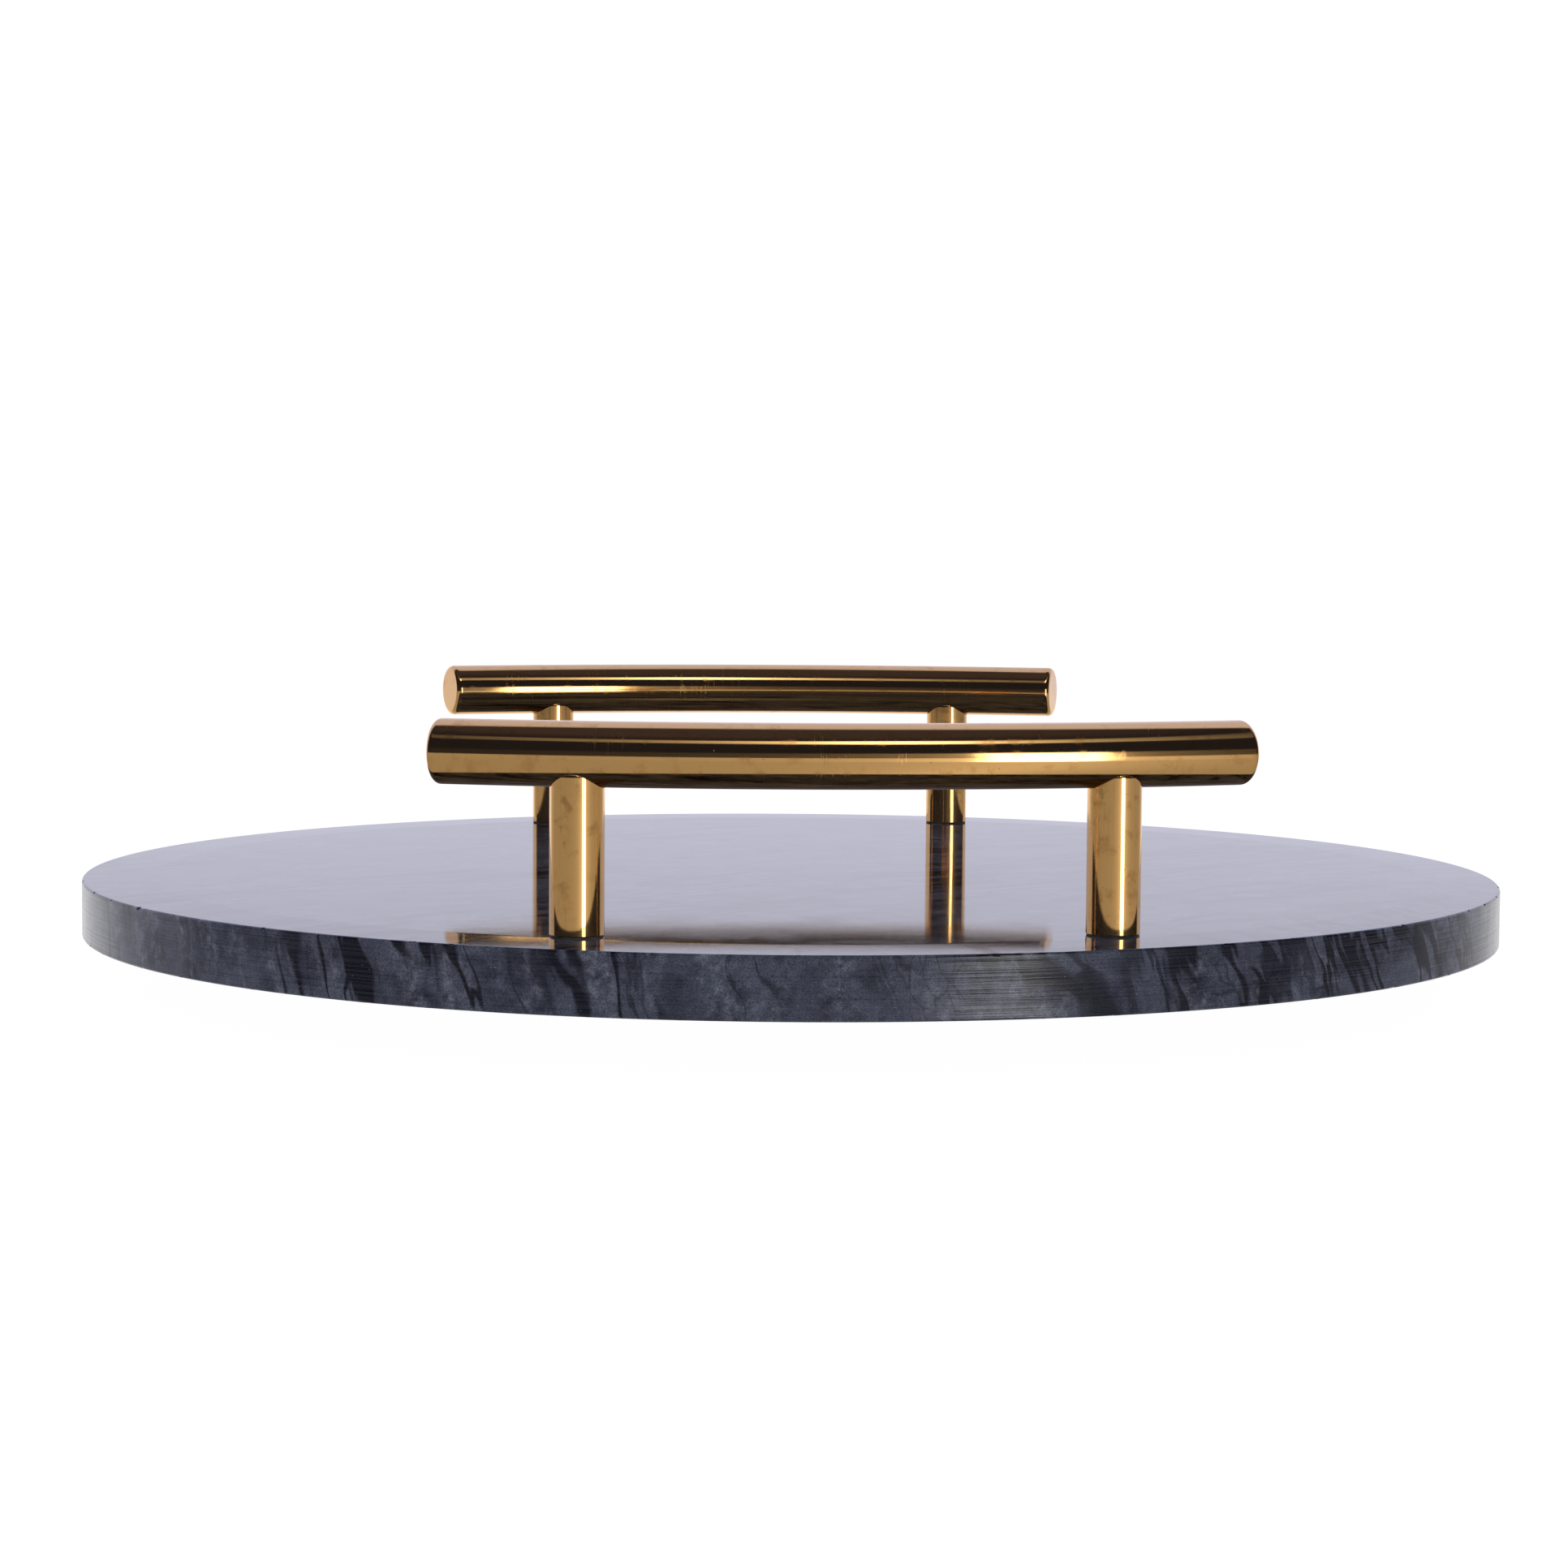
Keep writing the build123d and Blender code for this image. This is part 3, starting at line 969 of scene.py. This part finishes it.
def make_camera():
    """The camera, low in front of the object and a little to its left."""
    camera = bpy.data.objects.new("camera", bpy.data.cameras.new("camera"))
    bpy.context.scene.collection.objects.link(camera)
    camera.data.lens = camera_lens
    camera.data.sensor_width = camera_sensor
    camera.data.clip_start, camera.data.clip_end = camera_clip
    turn = Matrix.Rotation(camera_azimuth + camera_yaw, 4, "Z")
    tilt = Matrix.Rotation(pi / 2 - camera_pitch, 4, "X")
    roll = Matrix.Rotation(camera_roll, 4, "Z")
    place = Vector((sin(camera_azimuth), -cos(camera_azimuth), 0)) * camera_distance
    place.z = camera_height
    camera.matrix_world = Matrix.Translation(place) @ turn @ tilt @ roll
    bpy.context.scene.camera = camera


floor_radius = 6.0
floor_white = (0.9, 0.9, 0.9, 1)
floor_glow_share = 0.96
white_level = 1.03


def make_floor():
    """A plain white floor that takes only a faint shadow, and isn't seen in reflections."""
    let_go()
    bpy.ops.mesh.primitive_circle_add(vertices=64, radius=floor_radius, fill_type="NGON")
    floor = added("floor")
    material = bpy.data.materials.new("white_floor")
    material.use_nodes = True
    tree = material.node_tree
    tree.nodes.clear()
    matt = put(tree, "ShaderNodeBsdfDiffuse", Color=floor_white)
    glow = put(tree, "ShaderNodeEmission", Color=(1, 1, 1, 1), Strength=white_level)
    mixed = put(tree, "ShaderNodeMixShader", Fac=floor_glow_share)
    tree.links.new(matt.outputs[0], mixed.inputs[1])
    tree.links.new(glow.outputs[0], mixed.inputs[2])
    output = tree.nodes.new("ShaderNodeOutputMaterial")
    tree.links.new(mixed.outputs[0], output.inputs["Surface"])
    floor.data.materials.append(material)
    floor.visible_glossy = False
    floor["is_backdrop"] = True


def window(tree, value, low, high, soft):
    """One between low and high, with soft edges."""
    rise = soft_step(tree, value, low - soft, low + soft)
    fall = soft_step(tree, value, high - soft, high + soft, 1.0, 0.0)
    return calc(tree, "MULTIPLY", rise, fall)


def glow_round(tree, value, centre, width, peak):
    """A wide glow round a middle value."""
    off = calc(tree, "DIVIDE", calc(tree, "SUBTRACT", value, centre), width)
    return calc(tree, "DIVIDE", peak, calc(tree, "ADD", calc(tree, "MULTIPLY", off, off), 1.0))


# The reflected studio. Azimuths and heights are in degrees, azimuth 0 towards the camera and
# growing to the right; a glow is its middle azimuth, its width and its peak.
turn_of_lights = -4.82
backdrop_colour = (0.83, 0.825, 0.98, 1)
backdrop_above = (0.66, 0.72, 1.12, 1)
backdrop_heights = (14.0, 34.0)
backdrop_edge = (0.28, 0.44)
room_colour = (0.018, 0.020, 0.040, 1)
ceiling_colour = (0.055, 0.050, 0.080, 1)
ceiling_heights = (55.0, 75.0)
lamp_white = (1.0, 0.99, 0.95)
low_lamp_azimuths, low_lamp_azimuth_soft = (25.0, 39.0), 1.6
low_lamp_heights = (-15.0, 13.0)
low_lamp_level = 5.5
low_lamp_glow = (30.0, 10.0, 0.6)
strip_heights = (46.0, 56.0)
strip_glow = (20.0, 12.0, 3.6)
lamp_height_soft = 2.0
floor_tone = (1.0, 0.99, 1.0)
floor_edge_heights = (-3.4, -2.4)
floor_level = 0.40
floor_glow = (32.0, 15.0, 0.40)
far_floor_reach = (0.5, 0.9)
far_floor_levels = (0.45, 1.05)


def look_angles(tree, axes):
    """The azimuth and height of the way looked, in degrees."""
    ahead = calc(tree, "MULTIPLY", axes.outputs["Y"], -1.0)
    azimuth = calc(tree, "ARCTAN2", axes.outputs["X"], ahead)
    azimuth = calc(tree, "MULTIPLY", azimuth, 180 / pi)
    azimuth = calc(tree, "SUBTRACT", azimuth, turn_of_lights)
    height = calc(tree, "MULTIPLY", calc(tree, "ARCSINE", axes.outputs["Z"]), 180 / pi)
    return azimuth, height


def two_lamps(tree, azimuth, height):
    """The brightness of a low lamp at the right and of a high strip across the front."""
    low_lamp = window(tree, azimuth, *low_lamp_azimuths, low_lamp_azimuth_soft)
    low_lamp = calc(tree, "MULTIPLY", low_lamp, low_lamp_level)
    low_lamp = calc(tree, "ADD", low_lamp, glow_round(tree, azimuth, *low_lamp_glow))
    lit = window(tree, height, *low_lamp_heights, lamp_height_soft)
    low_lamp = calc(tree, "MULTIPLY", low_lamp, lit)
    strip = glow_round(tree, azimuth, *strip_glow)
    lit = window(tree, height, *strip_heights, lamp_height_soft)
    return calc(tree, "ADD", low_lamp, calc(tree, "MULTIPLY", strip, lit))


def make_studio_light():
    """Even white light, and in reflections a dark room with a pale backdrop and two lamps."""
    world = bpy.data.worlds.new("studio")
    bpy.context.scene.world = world
    world.use_nodes = True
    tree = world.node_tree
    tree.nodes.clear()
    look = tree.nodes.new("ShaderNodeTexCoord").outputs["Generated"]
    axes = put(tree, "ShaderNodeSeparateXYZ", Vector=look)
    azimuth, height = look_angles(tree, axes)

    up_high = soft_step(tree, height, *ceiling_heights)
    colour = tint(tree, up_high, room_colour, ceiling_colour)
    behind = soft_step(tree, axes.outputs["Y"], *backdrop_edge)
    raised = soft_step(tree, height, *backdrop_heights)
    backdrop = tint(tree, raised, backdrop_colour, backdrop_above)
    colour = tint(tree, behind, colour, backdrop)

    level = calc(tree, "ADD", glow_round(tree, azimuth, *floor_glow), floor_level)
    far_floor = soft_step(tree, axes.outputs["Y"], *far_floor_reach, *far_floor_levels)
    level = calc(tree, "MAXIMUM", level, calc(tree, "MULTIPLY", far_floor, behind))
    below = soft_step(tree, height, *floor_edge_heights, 1.0, 0.0)
    colour = tint(tree, below, colour, vector_calc(tree, "SCALE", floor_tone, scale=level))
    lamps = vector_calc(tree, "SCALE", lamp_white, scale=two_lamps(tree, azimuth, height))
    colour = vector_calc(tree, "ADD", colour, lamps)

    seen = put(tree, "ShaderNodeBackground", Color=colour, Strength=1.0)
    even = put(tree, "ShaderNodeBackground", Color=(1, 1, 1, 1), Strength=white_level)
    mirrored = tree.nodes.new("ShaderNodeLightPath").outputs["Is Glossy Ray"]
    mixed = put(tree, "ShaderNodeMixShader", Fac=mirrored)
    tree.links.new(even.outputs[0], mixed.inputs[1])
    tree.links.new(seen.outputs[0], mixed.inputs[2])
    output = tree.nodes.new("ShaderNodeOutputWorld")
    tree.links.new(mixed.outputs[0], output.inputs["Surface"])
    world.cycles.sampling_method = "NONE"


make_camera()
make_floor()
make_studio_light()
bpy.context.scene.view_settings.view_transform = "Standard"

low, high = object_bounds()
